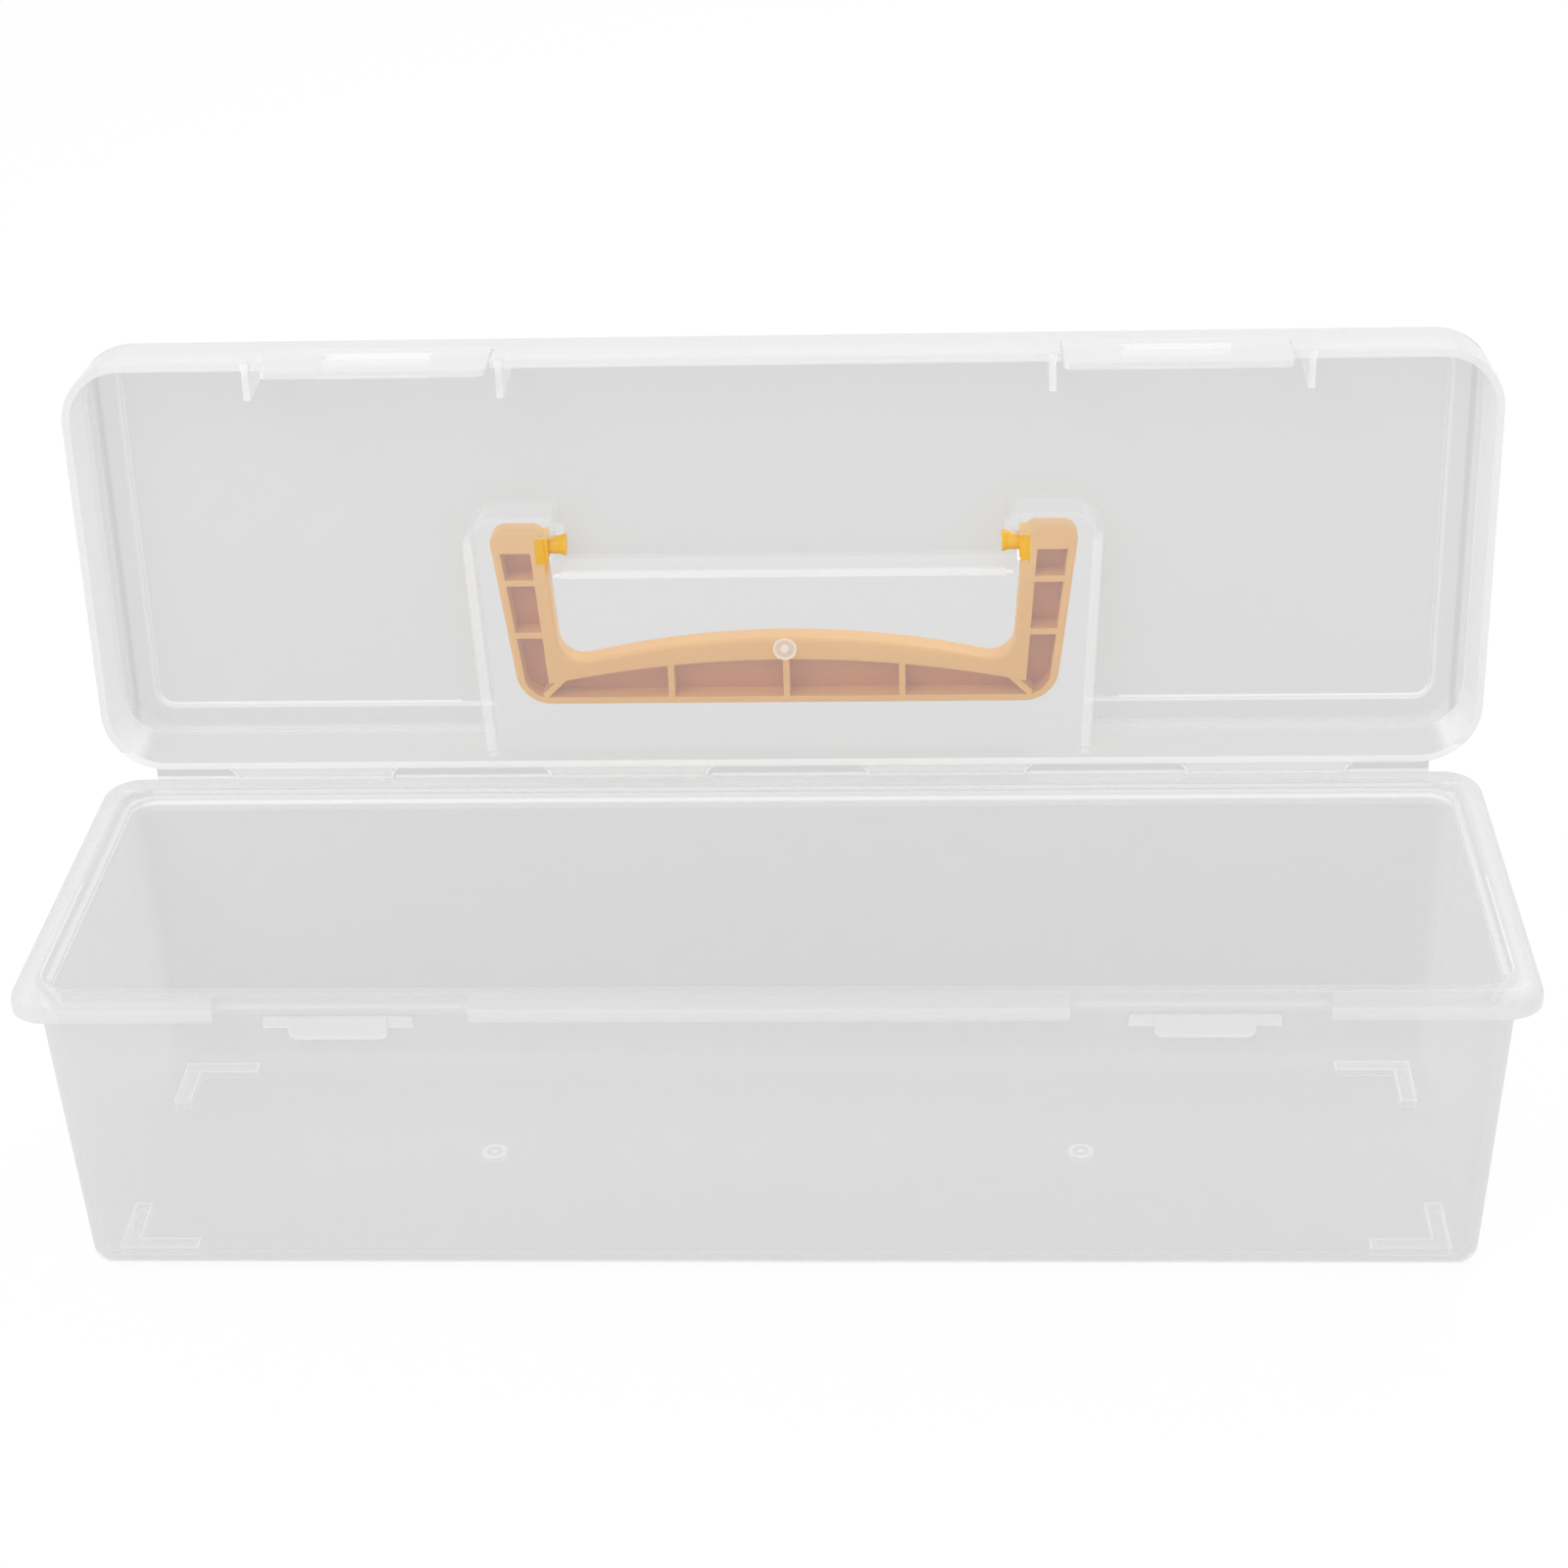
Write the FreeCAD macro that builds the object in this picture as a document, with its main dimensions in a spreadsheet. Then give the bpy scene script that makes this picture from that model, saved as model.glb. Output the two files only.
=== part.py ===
import FreeCAD, Part
import os
import Sketcher
from FreeCAD import Placement, Rotation, Vector

# A long clear box with a hinged lid, two snap tongues and a folding carrying handle.
# Everything is drawn closed, centred on the tub, in millimetres: X along the box, Y towards the hinge, Z up.
doc = FreeCAD.newDocument("art_supply_box")

sizes = {
    # tub
    "rim_length": 385.0,
    "rim_width": 125.0,
    "rim_corner": 10.5,
    "tub_top": 89.0,
    "foot_height": 0.7,
    "flange_thick": 1.8,
    "skirt_height": 6.4,
    "skirt_thick": 1.6,
    "rim_round": 4.2,
    "wall_inset": 4.8,
    "floor_thick": 2.2,
    "tub_draft": 3.64,
    "base_corner": 5.6,
    "base_round": 4.6,
    "well_inset": 8.8,
    "well_draft": 2.7,
    "well_corner": 3.0,
    "well_round": 2.8,
    "ledge_inset": 7.2,
    "ledge_corner": 8.8,
    "ledge_drop": 3.0,
    "ledge_round": 1.2,
    # feet under the tub corners
    "foot_corner_x": 175.5,
    "foot_corner_y": 45.6,
    "foot_arm": 20.0,
    "foot_wide": 3.6,
    # moulding gates in the tub floor
    "gate_x": 81.0,
    "gate_wide": 7.0,
    "gate_deep": 0.5,
    # rim cut back behind each snap tongue, with the bar and the tab below it
    "catch_x": 107.2,
    "catch_half": 32.2,
    "catch_setback": 3.5,
    "bar_thick": 2.4,
    "bar_drop": 4.4,
    "tab_x": 108.7,
    "tab_half": 12.6,
    "tab_top": 7.4,
    "tab_drop": 13.4,
    "tab_setback": 3.6,
    "tab_round": 2.2,
    "wing_half": 19.0,
    "wing_drop": 10.6,
    "wing_setback": 4.5,
    "tab_root": 7.4,
    # lid
    "lid_length": 385.0,
    "lid_width": 121.0,
    "lid_corner": 17.0,
    "lid_gap": 0.3,
    "lid_depth": 21.4,
    "lid_draft": 2.2,
    "lid_round": 2.4,
    "lid_inner_round": 3.0,
    "lid_thick": 2.1,
    "panel_rise": 1.6,
    "panel_inset_x": 10.3,
    "panel_inset_front": 6.6,
    "panel_inset_rear": 9.1,
    "panel_corner": 6.0,
    "panel_round": 0.9,
    # handle recess in the lid, open at the rear
    "recess_floor": 9.1,
    "recess_half": 87.0,
    "recess_half_rear": 83.8,
    "lobe_front": 10.2,
    "lobe_inner": 64.6,
    "lobe_round": 8.5,
    "land_rear": 6.6,
    "recess_edge_round": 1.8,
    "window_wide": 3.4,
    "window_front": 6.0,
    "window_rear": 2.4,
    # gussets beside the snap tongues
    "gusset_near": 73.5,
    "gusset_far": 141.5,
    "gusset_thick": 1.8,
    "gusset_reach": 10.5,
    "gusset_lean": 0.8,
    # snap tongues
    "tongue_x": 106.0,
    "tongue_wide": 60.0,
    "tongue_thick": 1.7,
    "tongue_proud": 0.6,
    "tongue_root": 9.0,
    "tongue_reach": 9.2,
    "tongue_side_gap": 0.4,
    "tongue_top_gap": 0.3,
    "tongue_round": 2.6,
    "hook_wide": 29.0,
    "hook_gap": 0.4,
    "hook_reach": 1.3,
    "hook_flat": 0.8,
    "hook_tall": 2.2,
    "slot_wide": 29.0,
    "slot_tall": 4.6,
    "slot_above_rim": 0.6,
    # film hinge straps
    "hinge_gap": 1.5,
    "strap_wide": 49.5,
    "strap_near": 44.7,
    "strap_far": 133.8,
    "strap_thick": 0.7,
    "strap_drop": 5.0,
    "strap_stand": 0.7,
    "strap_clear": 0.05,
    "strap_bend": 1.2,
    # handle, drawn about its pivot line
    "pivot_height": 17.7,
    "handle_thick": 8.6,
    "handle_end": 5.6,
    "handle_half_top": 81.8,
    "handle_half_grip": 75.4,
    "handle_reach": 47.6,
    "handle_inner_top": 66.4,
    "handle_inner_grip": 63.4,
    "grip_inner_end": 35.8,
    "grip_arch": 241.0,
    "grip_corner": 10.0,
    "inside_corner": 7.0,
    "end_corner": 4.0,
    "handle_top_round": 2.6,
    "handle_low_round": 1.2,
    "cell_deep": 6.4,
    "cell_start": 1.0,
    "cell_wall": 2.4,
    "cell_band": 4.2,
    "band_end": 41.0,
    "band_arch": 318.0,
    "cell_corner": 7.0,
    "rib_thick": 1.8,
    "grip_rib_pitch": 32.5,
    "grip_rib_from": 33.0,
    "arm_rib_first": 9.9,
    "arm_rib_second": 25.9,
    "corner_rib_x": 65.6,
    "corner_rib_y": 42.0,
    "corner_rib_half": 3.0,
    "boss_half": 3.6,
    "boss_inner": 65.2,
    "boss_deep": 3.4,
    "pin_radius": 2.6,
    "pin_hole_radius": 2.67,
    "pin_head_radius": 3.1,
    "pin_head_gap": 0.3,
    "pin_head_long": 1.8,
    # how the box stands: lid open, its footprint centred on the origin
    "lid_open_angle": 90.0,
    "footprint_shift": -11.325,
}

sheet = doc.addObject("Spreadsheet::Sheet", "dims")
for row, (alias, value) in enumerate(sizes.items(), start=1):
    sheet.set(f"A{row}", alias)
    sheet.set(f"B{row}", str(value))
    sheet.setAlias(f"B{row}", alias)
doc.recompute()

LID_BASE = "(dims.tub_top + dims.lid_gap)"
LID_TOP = f"({LID_BASE} + dims.lid_depth)"
PANEL_TOP = f"({LID_TOP} + dims.panel_rise)"
FRONT = "(-dims.rim_width / 2)"
LID_FRONT = "(-dims.lid_width / 2)"
SIDES = (-1, 1)


def number(owner, text):
    return float(owner.evalExpression(text))


def sketch_on(body, name, role, height="0 mm"):
    sketch = body.newObject("Sketcher::SketchObject", name)
    plane = next(item for item in body.Origin.OriginFeatures if item.Role == role)
    sketch.AttachmentSupport = [(plane, "")]
    sketch.MapMode = "FlatFace"
    sketch.setExpression("AttachmentOffset.Base.z", height)
    return sketch


def place_point(sketch, geometry, end, x, y):
    for kind, axis, text in (("DistanceX", -2, x), ("DistanceY", -1, y)):
        value = number(sketch, text)
        if abs(value) < 1e-9:
            sketch.addConstraint(Sketcher.Constraint("PointOnObject", geometry, end, axis))
        else:
            index = sketch.addConstraint(Sketcher.Constraint(kind, -1, 1, geometry, end, value))
            sketch.setExpression(f"Constraints[{index}]", text)


def arc_middle(start, end, radius):
    # the arc bows to the right of the way from start to end
    chord = end - start
    rise = radius - (radius ** 2 - (chord.Length / 2) ** 2) ** 0.5
    right = Vector(chord.y, -chord.x, 0).normalize()
    return (start + end) / 2 + right * rise


def outline(sketch, points, arcs={}):
    # closed outline through the points; arcs gives the radius of the stretch that follows a point
    spots = [Vector(number(sketch, x), number(sketch, y), 0) for x, y in points]
    stretches = []
    for i, start in enumerate(spots):
        end = spots[(i + 1) % len(spots)]
        if i in arcs:
            curve = Part.Arc(start, arc_middle(start, end, number(sketch, arcs[i])), end)
        else:
            curve = Part.LineSegment(start, end)
        index = sketch.addGeometry(curve)
        turned = (sketch.Geometry[index].StartPoint - start).Length > 1e-6
        stretches.append((index, 2, 1) if turned else (index, 1, 2))
    for i, (index, first, last) in enumerate(stretches):
        following, its_first, _ = stretches[(i + 1) % len(stretches)]
        sketch.addConstraint(Sketcher.Constraint("Coincident", index, last, following, its_first))
    for (index, first, last), (x, y) in zip(stretches, points):
        place_point(sketch, index, first, x, y)
    for i, radius in arcs.items():
        index = stretches[i][0]
        bound = sketch.addConstraint(Sketcher.Constraint("Radius", index, number(sketch, radius)))
        sketch.setExpression(f"Constraints[{bound}]", radius)


def rectangle(sketch, x0, x1, y0, y1):
    outline(sketch, [(x0, y0), (x1, y0), (x1, y1), (x0, y1)])


def circle(sketch, x, y, radius):
    centre = Vector(number(sketch, x), number(sketch, y), 0)
    index = sketch.addGeometry(Part.Circle(centre, Vector(0, 0, 1), number(sketch, radius)))
    place_point(sketch, index, 3, x, y)
    bound = sketch.addConstraint(Sketcher.Constraint("Radius", index, number(sketch, radius)))
    sketch.setExpression(f"Constraints[{bound}]", radius)


def rounded_rectangle(sketch, length, width, corner, middle="0"):
    # four lines and four tangent arcs whose centres are held by the length, width and corner radius
    half_x = number(sketch, f"({length}) / 2")
    half_y = number(sketch, f"({width}) / 2")
    middle_y = number(sketch, middle)
    radius = number(sketch, corner)
    signs = ((1, 1), (-1, 1), (-1, -1), (1, -1))
    quarter = 3.141592653589793 / 2
    for turn, (sx, sy) in enumerate(signs):
        centre = Vector(sx * (half_x - radius), middle_y + sy * (half_y - radius), 0)
        whole = Part.Circle(centre, Vector(0, 0, 1), radius)
        sketch.addGeometry(Part.ArcOfCircle(whole, turn * quarter, (turn + 1) * quarter))
    for turn in range(4):
        start = sketch.Geometry[turn].EndPoint
        end = sketch.Geometry[(turn + 1) % 4].StartPoint
        line = sketch.addGeometry(Part.LineSegment(start, end))
        sketch.addConstraint(Sketcher.Constraint("Tangent", turn, 2, line, 1))
        sketch.addConstraint(Sketcher.Constraint("Tangent", line, 2, (turn + 1) % 4, 1))
    for turn, (sx, sy) in enumerate(signs):
        x = f"{sx} * (({length}) / 2 - ({corner}))"
        y = f"{middle} + {sy} * (({width}) / 2 - ({corner}))"
        place_point(sketch, turn, 3, x, y)
        bound = sketch.addConstraint(Sketcher.Constraint("Radius", turn, radius))
        sketch.setExpression(f"Constraints[{bound}]", corner)


def rim_rectangle(sketch, inset, corner):
    length = f"dims.rim_length - 2 * ({inset})"
    width = f"dims.rim_width - 2 * ({inset})"
    rounded_rectangle(sketch, length, width, corner)


def lid_rectangle(sketch, inset):
    length = f"dims.lid_length - 2 * ({inset})"
    width = f"dims.lid_width - 2 * ({inset})"
    rounded_rectangle(sketch, length, width, f"dims.lid_corner - ({inset})")


def both_hands(points):
    # the outline's points on the +X side, followed by their mirror images in reverse
    return points + [(f"-({x})", y) for x, y in reversed(points)]


def solid_volume(body):
    return body.Tip.Shape.Volume if body.Tip and body.Tip.Shape.Solids else 0.0


def pad(body, sketch, length, taper=None, down=False, both=False):
    doc.recompute()
    before = solid_volume(body)
    feature = body.newObject("PartDesign::Pad", sketch.Name + "_pad")
    feature.Profile = sketch
    feature.setExpression("Length", length)
    if taper:
        feature.setExpression("TaperAngle", taper)
    feature.Reversed = down
    feature.Midplane = both
    doc.recompute()
    if solid_volume(body) <= before:
        raise RuntimeError(f"{feature.Name} added nothing")
    return feature


def pocket(body, sketch, length, taper=None, up=False, both=False):
    doc.recompute()
    before = solid_volume(body)
    feature = body.newObject("PartDesign::Pocket", sketch.Name + "_pocket")
    feature.Profile = sketch
    feature.setExpression("Length", length)
    if taper:
        feature.setExpression("TaperAngle", taper)
    feature.Reversed = up
    feature.Midplane = both
    doc.recompute()
    if solid_volume(body) >= before:
        raise RuntimeError(f"{feature.Name} cut nothing")
    return feature


def round_edges(body, name, radius, wanted):
    doc.recompute()
    base = body.Tip
    edges = [f"Edge{i}" for i, edge in enumerate(base.Shape.Edges, start=1) if wanted(edge)]
    feature = body.newObject("PartDesign::Fillet", name)
    feature.Base = (base, edges)
    feature.setExpression("Radius", radius)
    doc.recompute()
    if not feature.Shape.isValid():
        raise RuntimeError(f"{name} is not valid on {len(edges)} edges")
    return feature


def at_level(sheet_text):
    level = number(sheet, sheet_text)
    return lambda edge: abs(edge.BoundBox.ZMin - level) < 0.01 and abs(edge.BoundBox.ZMax - level) < 0.01


def inside_ledge(edge):
    reach_x = number(sheet, "dims.rim_length / 2 - dims.ledge_inset") + 0.01
    reach_y = number(sheet, "dims.rim_width / 2 - dims.ledge_inset") + 0.01
    return edge.BoundBox.XMax < reach_x and edge.BoundBox.YMax < reach_y and edge.BoundBox.YMin > -reach_y


def upright_at(x, y):
    # upright edges at the plan point (x, y) and at its mirror image across the box
    def wanted(edge):
        box = edge.BoundBox
        upright = box.ZLength > 1 and box.XLength < 0.01 and box.YLength < 0.01
        return upright and abs(abs(box.XMin) - x) < 0.05 and abs(box.YMin - y) < 0.05
    return wanted


def new_body(label):
    body = doc.addObject("PartDesign::Body", label)
    body.Label = label
    return body


def make_tub():
    body = new_body("tub")
    rim_low = "dims.tub_top - dims.skirt_height"
    base_inset = "(dims.wall_inset + (dims.tub_top - dims.foot_height) * tan(dims.tub_draft * 1 deg))"
    floor_top = "(dims.foot_height + dims.floor_thick)"
    well_inset = f"(dims.well_inset + (dims.tub_top - {floor_top}) * tan(dims.well_draft * 1 deg))"

    # rolled rim: a flange with a skirt turned down all round
    sketch = sketch_on(body, "rim_outline", "XY_Plane", rim_low)
    rim_rectangle(sketch, "0", "dims.rim_corner")
    pad(body, sketch, "dims.skirt_height")
    round_edges(body, "rim_top_round", "dims.rim_round", at_level("dims.tub_top"))
    sketch = sketch_on(body, "skirt_inside", "XY_Plane", rim_low)
    rim_rectangle(sketch, "dims.skirt_thick", "dims.rim_corner - dims.skirt_thick")
    pocket(body, sketch, "dims.skirt_height - dims.flange_thick", up=True)
    under_flange = at_level("dims.tub_top - dims.flange_thick")
    round_edges(body, "rim_inside_round", "dims.rim_round - dims.skirt_thick", under_flange)

    # drafted walls and floor
    sketch = sketch_on(body, "base_outline", "XY_Plane", "dims.foot_height")
    rim_rectangle(sketch, base_inset, "dims.base_corner")
    pad(body, sketch, "dims.tub_top - dims.foot_height", taper="dims.tub_draft")
    round_edges(body, "base_edge_round", "dims.base_round", at_level("dims.foot_height"))
    sketch = sketch_on(body, "well_outline", "XY_Plane", floor_top)
    rim_rectangle(sketch, well_inset, "dims.well_corner")
    pocket(body, sketch, f"dims.tub_top - {floor_top}", taper="dims.well_draft", up=True)
    round_edges(body, "well_floor_round", "dims.well_round", at_level(floor_top))

    # step down from the flange to the top of the wall
    sketch = sketch_on(body, "ledge_outline", "XY_Plane", "dims.tub_top")
    rim_rectangle(sketch, "dims.ledge_inset", "dims.ledge_corner")
    pocket(body, sketch, "dims.ledge_drop")
    on_flange = at_level("dims.tub_top")
    round_edges(
        body,
        "ledge_edge_round",
        "dims.ledge_round",
        lambda edge: on_flange(edge) and inside_ledge(edge),
    )

    # rim cut back where the snap tongues come down
    sketch = sketch_on(body, "catch_cut", "XY_Plane", "dims.tub_top")
    for side in SIDES:
        rectangle(
            sketch,
            f"{side} * dims.catch_x - dims.catch_half",
            f"{side} * dims.catch_x + dims.catch_half",
            f"{FRONT} - dims.skirt_thick",
            f"{FRONT} + dims.catch_setback",
        )
    pocket(body, sketch, "dims.skirt_height")

    # bar under the cut-back edge, for the hook to hold
    sketch = sketch_on(body, "catch_bar", "XY_Plane", "dims.tub_top - dims.bar_drop")
    for side in SIDES:
        rectangle(
            sketch,
            f"{side} * dims.catch_x - dims.catch_half",
            f"{side} * dims.catch_x + dims.catch_half",
            f"{FRONT} + dims.catch_setback",
            f"{FRONT} + dims.catch_setback + dims.bar_thick",
        )
    pad(body, sketch, "dims.bar_drop - dims.flange_thick / 2")

    # tab with two wings on the wall below the bar
    for name, half, setback, drop in (
        ("catch_tab", "dims.tab_half", "dims.tab_setback", "dims.tab_drop"),
        ("catch_wing", "dims.wing_half", "dims.wing_setback", "dims.wing_drop"),
    ):
        sketch = sketch_on(body, name, "XY_Plane", f"dims.tub_top - {drop}")
        for side in SIDES:
            rectangle(
                sketch,
                f"{side} * dims.tab_x - {half}",
                f"{side} * dims.tab_x + {half}",
                f"{FRONT} + {setback}",
                f"{FRONT} + dims.tab_root",
            )
        pad(body, sketch, f"{drop} - dims.tab_top")
    tab_low = at_level("dims.tub_top - dims.tab_drop")
    round_edges(
        body,
        "tab_corner_round",
        "dims.tab_round",
        lambda edge: tab_low(edge) and edge.BoundBox.XLength < 0.01 and edge.BoundBox.YMax < 0,
    )

    # L-shaped feet under the corners
    sketch = sketch_on(body, "feet", "XY_Plane")
    for sx in SIDES:
        for sy in SIDES:
            steps = (
                ("0", "0"),
                ("dims.foot_arm", "0"),
                ("dims.foot_arm", "dims.foot_wide"),
                ("dims.foot_wide", "dims.foot_wide"),
                ("dims.foot_wide", "dims.foot_arm"),
                ("0", "dims.foot_arm"),
            )
            corner = [
                (f"{sx} * (dims.foot_corner_x - {along})", f"{sy} * (dims.foot_corner_y - {across})")
                for along, across in steps
            ]
            outline(sketch, corner)
    pad(body, sketch, "dims.foot_height + dims.floor_thick / 4")

    # dimples of the two moulding gates under the floor
    sketch = sketch_on(body, "gate_dimples", "XY_Plane", "dims.foot_height")
    for side in SIDES:
        circle(sketch, f"{side} * dims.gate_x", "0", "dims.gate_wide / 2")
    pocket(body, sketch, "dims.gate_deep", up=True)
    return body


def recess_outline(sketch, grow="0"):
    # two lobes for the handle's arms, joined behind the land and open through the rear wall
    rear = "(dims.lid_width / 2 + dims.lid_round)"
    half = f"(dims.recess_half + {grow})"
    half_rear = f"(dims.recess_half_rear + {grow})"
    inner = f"(dims.lobe_inner - {grow})"
    front = f"-(dims.lobe_front + {grow})"
    land = f"(dims.land_rear - {grow})"
    outline(
        sketch,
        both_hands([(half_rear, rear), (half, front), (inner, front), (inner, land)]),
    )


def lobe_corner(grow=0.0):
    return upright_at(sizes["recess_half"] + grow, -sizes["lobe_front"] - grow)


def make_lid_hollow():
    # the space inside the lid, with the underside of the handle recess standing in it
    body = new_body("lid_hollow")
    ceiling = f"{LID_TOP} - dims.lid_thick"
    sketch = sketch_on(body, "hollow_outline", "XY_Plane", LID_BASE)
    lid_rectangle(sketch, "dims.lid_thick")
    pad(body, sketch, "dims.lid_depth - dims.lid_thick", taper="-dims.lid_draft")
    round_edges(body, "hollow_top_round", "dims.lid_inner_round", at_level(ceiling))
    sketch = sketch_on(body, "panel_hollow", "XY_Plane", ceiling)
    panel_rectangle(sketch, "dims.lid_thick")
    pad(body, sketch, "dims.panel_rise")
    sketch = sketch_on(body, "recess_underside", "XY_Plane", f"{PANEL_TOP} - dims.lid_thick")
    recess_outline(sketch, "dims.lid_thick")
    pocket(body, sketch, f"{PANEL_TOP} - {LID_BASE} - dims.recess_floor")
    thick = sizes["lid_thick"]
    round_edges(body, "lobe_underside_round", "dims.lobe_round + dims.lid_thick", lobe_corner(thick))
    underside = at_level(f"{LID_BASE} + dims.recess_floor - dims.lid_thick")
    rear = number(sheet, "dims.lid_width / 2 - dims.lid_corner")
    round_edges(
        body,
        "recess_edge_round",
        "dims.recess_edge_round",
        lambda edge: underside(edge) and edge.BoundBox.YMin < rear,
    )
    return body


def panel_rectangle(sketch, inset):
    rounded_rectangle(
        sketch,
        f"dims.lid_length - 2 * (dims.panel_inset_x + {inset})",
        f"dims.lid_width - dims.panel_inset_front - dims.panel_inset_rear - 2 * {inset}",
        f"dims.panel_corner - {inset}",
        "(dims.panel_inset_front - dims.panel_inset_rear) / 2",
    )


def make_lid():
    body = new_body("lid")

    # drafted block with a raised panel
    sketch = sketch_on(body, "lid_outline", "XY_Plane", LID_BASE)
    lid_rectangle(sketch, "0")
    pad(body, sketch, "dims.lid_depth", taper="-dims.lid_draft")
    round_edges(body, "lid_top_round", "dims.lid_round", at_level(LID_TOP))
    sketch = sketch_on(body, "panel_outline", "XY_Plane", LID_TOP)
    panel_rectangle(sketch, "0")
    pad(body, sketch, "dims.panel_rise")
    round_edges(body, "panel_edge_round", "dims.panel_round", at_level(PANEL_TOP))

    # handle recess from outside, then the hollow from inside
    sketch = sketch_on(body, "recess", "XY_Plane", PANEL_TOP)
    recess_outline(sketch)
    pocket(body, sketch, f"{PANEL_TOP} - {LID_BASE} - dims.recess_floor")
    round_edges(body, "lobe_corner_round", "dims.lobe_round", lobe_corner())
    before = solid_volume(body)
    hollow = body.newObject("PartDesign::Boolean", "hollow")
    hollow.Type = "Cut"
    hollow.setObjects([make_lid_hollow()])
    doc.recompute()
    if solid_volume(body) >= before:
        raise RuntimeError("the lid was not hollowed")

    # gussets behind the front wall
    for name, place in (("gusset_near", "dims.gusset_near"), ("gusset_far", "dims.gusset_far")):
        for side, hand in zip(SIDES, ("left", "right")):
            sketch = sketch_on(body, f"{name}_{hand}", "YZ_Plane", f"{side} * {place}")
            ceiling = f"{LID_TOP} - dims.lid_thick / 2"
            outline(
                sketch,
                [
                    (f"{LID_FRONT} + dims.lid_thick / 2", LID_BASE),
                    (f"{LID_FRONT} + dims.gusset_reach", LID_BASE),
                    (f"{LID_FRONT} + dims.gusset_reach - dims.gusset_lean", ceiling),
                    (f"{LID_FRONT} + dims.lid_thick", ceiling),
                ],
            )
            pad(body, sketch, "dims.gusset_thick", both=True)

    # notches in the front wall for the snap tongues
    sketch = sketch_on(body, "tongue_notch", "XZ_Plane", "dims.lid_width / 2 + dims.lid_thick")
    half = "(dims.tongue_wide / 2 + dims.tongue_side_gap)"
    for side in SIDES:
        rectangle(
            sketch,
            f"{side} * dims.tongue_x - {half}",
            f"{side} * dims.tongue_x + {half}",
            f"{LID_BASE} - dims.lid_thick",
            f"{LID_BASE} + dims.tongue_root + dims.tongue_thick / 2 + dims.tongue_top_gap",
        )
    pocket(body, sketch, "3 * dims.lid_thick")

    # pin holes through the side walls of the land, and the windows beside them
    sketch = sketch_on(body, "pin_hole", "YZ_Plane")
    circle(sketch, "0", f"{LID_BASE} + dims.pivot_height", "dims.pin_hole_radius")
    pocket(body, sketch, "2 * dims.lobe_inner + dims.window_wide", both=True)
    sketch = sketch_on(body, "pin_window", "XY_Plane", f"{LID_BASE} + dims.recess_floor")
    for side in SIDES:
        rectangle(
            sketch,
            f"{side} * (dims.lobe_inner - dims.lid_thick - dims.pin_head_gap)",
            f"{side} * (dims.lobe_inner + dims.window_wide)",
            "-dims.window_front",
            "dims.window_rear",
        )
    pocket(body, sketch, "4 * dims.lid_thick", both=True)
    return body


def make_tongue(label):
    # drawn about its flexing line: a plate with a round root, a slot and a hook
    body = new_body(label)
    half = "dims.tongue_thick / 2"
    rim = "dims.tongue_root"
    sketch = sketch_on(body, label + "_plate", "XZ_Plane", "0 mm")
    rectangle(
        sketch,
        "-dims.tongue_wide / 2",
        "dims.tongue_wide / 2",
        f"-({rim} + dims.tongue_reach)",
        "0",
    )
    pad(body, sketch, "dims.tongue_thick", both=True)
    low = -(sizes["tongue_root"] + sizes["tongue_reach"])
    round_edges(
        body,
        label + "_corner_round",
        "dims.tongue_round",
        lambda edge: abs(edge.BoundBox.ZMax - low) < 0.01 and edge.BoundBox.XLength < 0.01,
    )
    sketch = sketch_on(body, label + "_root", "YZ_Plane")
    circle(sketch, "0", "0", half)
    pad(body, sketch, "dims.tongue_wide", both=True)

    sketch = sketch_on(body, label + "_slot", "XZ_Plane")
    rectangle(
        sketch,
        "-dims.slot_wide / 2",
        "dims.slot_wide / 2",
        f"dims.slot_above_rim - {rim}",
        f"dims.slot_above_rim + dims.slot_tall - {rim}",
    )
    pocket(body, sketch, "2 * dims.tongue_thick", both=True)

    sketch = sketch_on(body, label + "_hook", "YZ_Plane")
    hook_top = f"(-{rim} - dims.lid_gap - dims.bar_drop - dims.hook_gap)"
    outline(
        sketch,
        [
            (f"{half} / 2", hook_top),
            (f"{half} + dims.hook_reach", hook_top),
            (f"{half} + dims.hook_reach", f"{hook_top} - dims.hook_flat"),
            (f"{half} / 2", f"{hook_top} - dims.hook_tall"),
        ],
    )
    pad(body, sketch, "dims.hook_wide", both=True)
    return body


def make_strap(label, place):
    # thin bent strip from the tub's rear rim up to the lid's rear wall, as it lies with the lid open
    body = new_body(label)
    rim = "dims.rim_width / 2"
    back = f"({rim} + dims.strap_stand + dims.strap_thick)"
    low = "(dims.tub_top - dims.strap_drop)"
    high = "(dims.tub_top + dims.lid_gap / 2 + dims.hinge_gap - dims.strap_clear)"
    sketch = sketch_on(body, label + "_profile", "YZ_Plane", place)
    outline(
        sketch,
        [
            (rim, low),
            (f"{back} - dims.strap_bend", low),
            (back, f"{low} + dims.strap_bend"),
            (back, high),
            (f"{back} - dims.strap_thick", high),
            (f"{back} - dims.strap_thick", f"{low} + dims.strap_bend"),
            (f"{back} - dims.strap_bend", f"{low} + dims.strap_thick"),
            (rim, f"{low} + dims.strap_thick"),
        ],
    )
    pad(body, sketch, "dims.strap_wide", both=True)
    return body


def arm_outer(along):
    lean = "(dims.handle_half_top - dims.handle_half_grip) / (dims.handle_reach + dims.handle_end)"
    return f"(dims.handle_half_top - ({along} + dims.handle_end) * {lean})"


def arm_inner(along):
    lean = "(dims.handle_inner_top - dims.handle_inner_grip) / (dims.grip_inner_end + dims.handle_end)"
    return f"(dims.handle_inner_top - ({along} + dims.handle_end) * {lean})"


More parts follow.
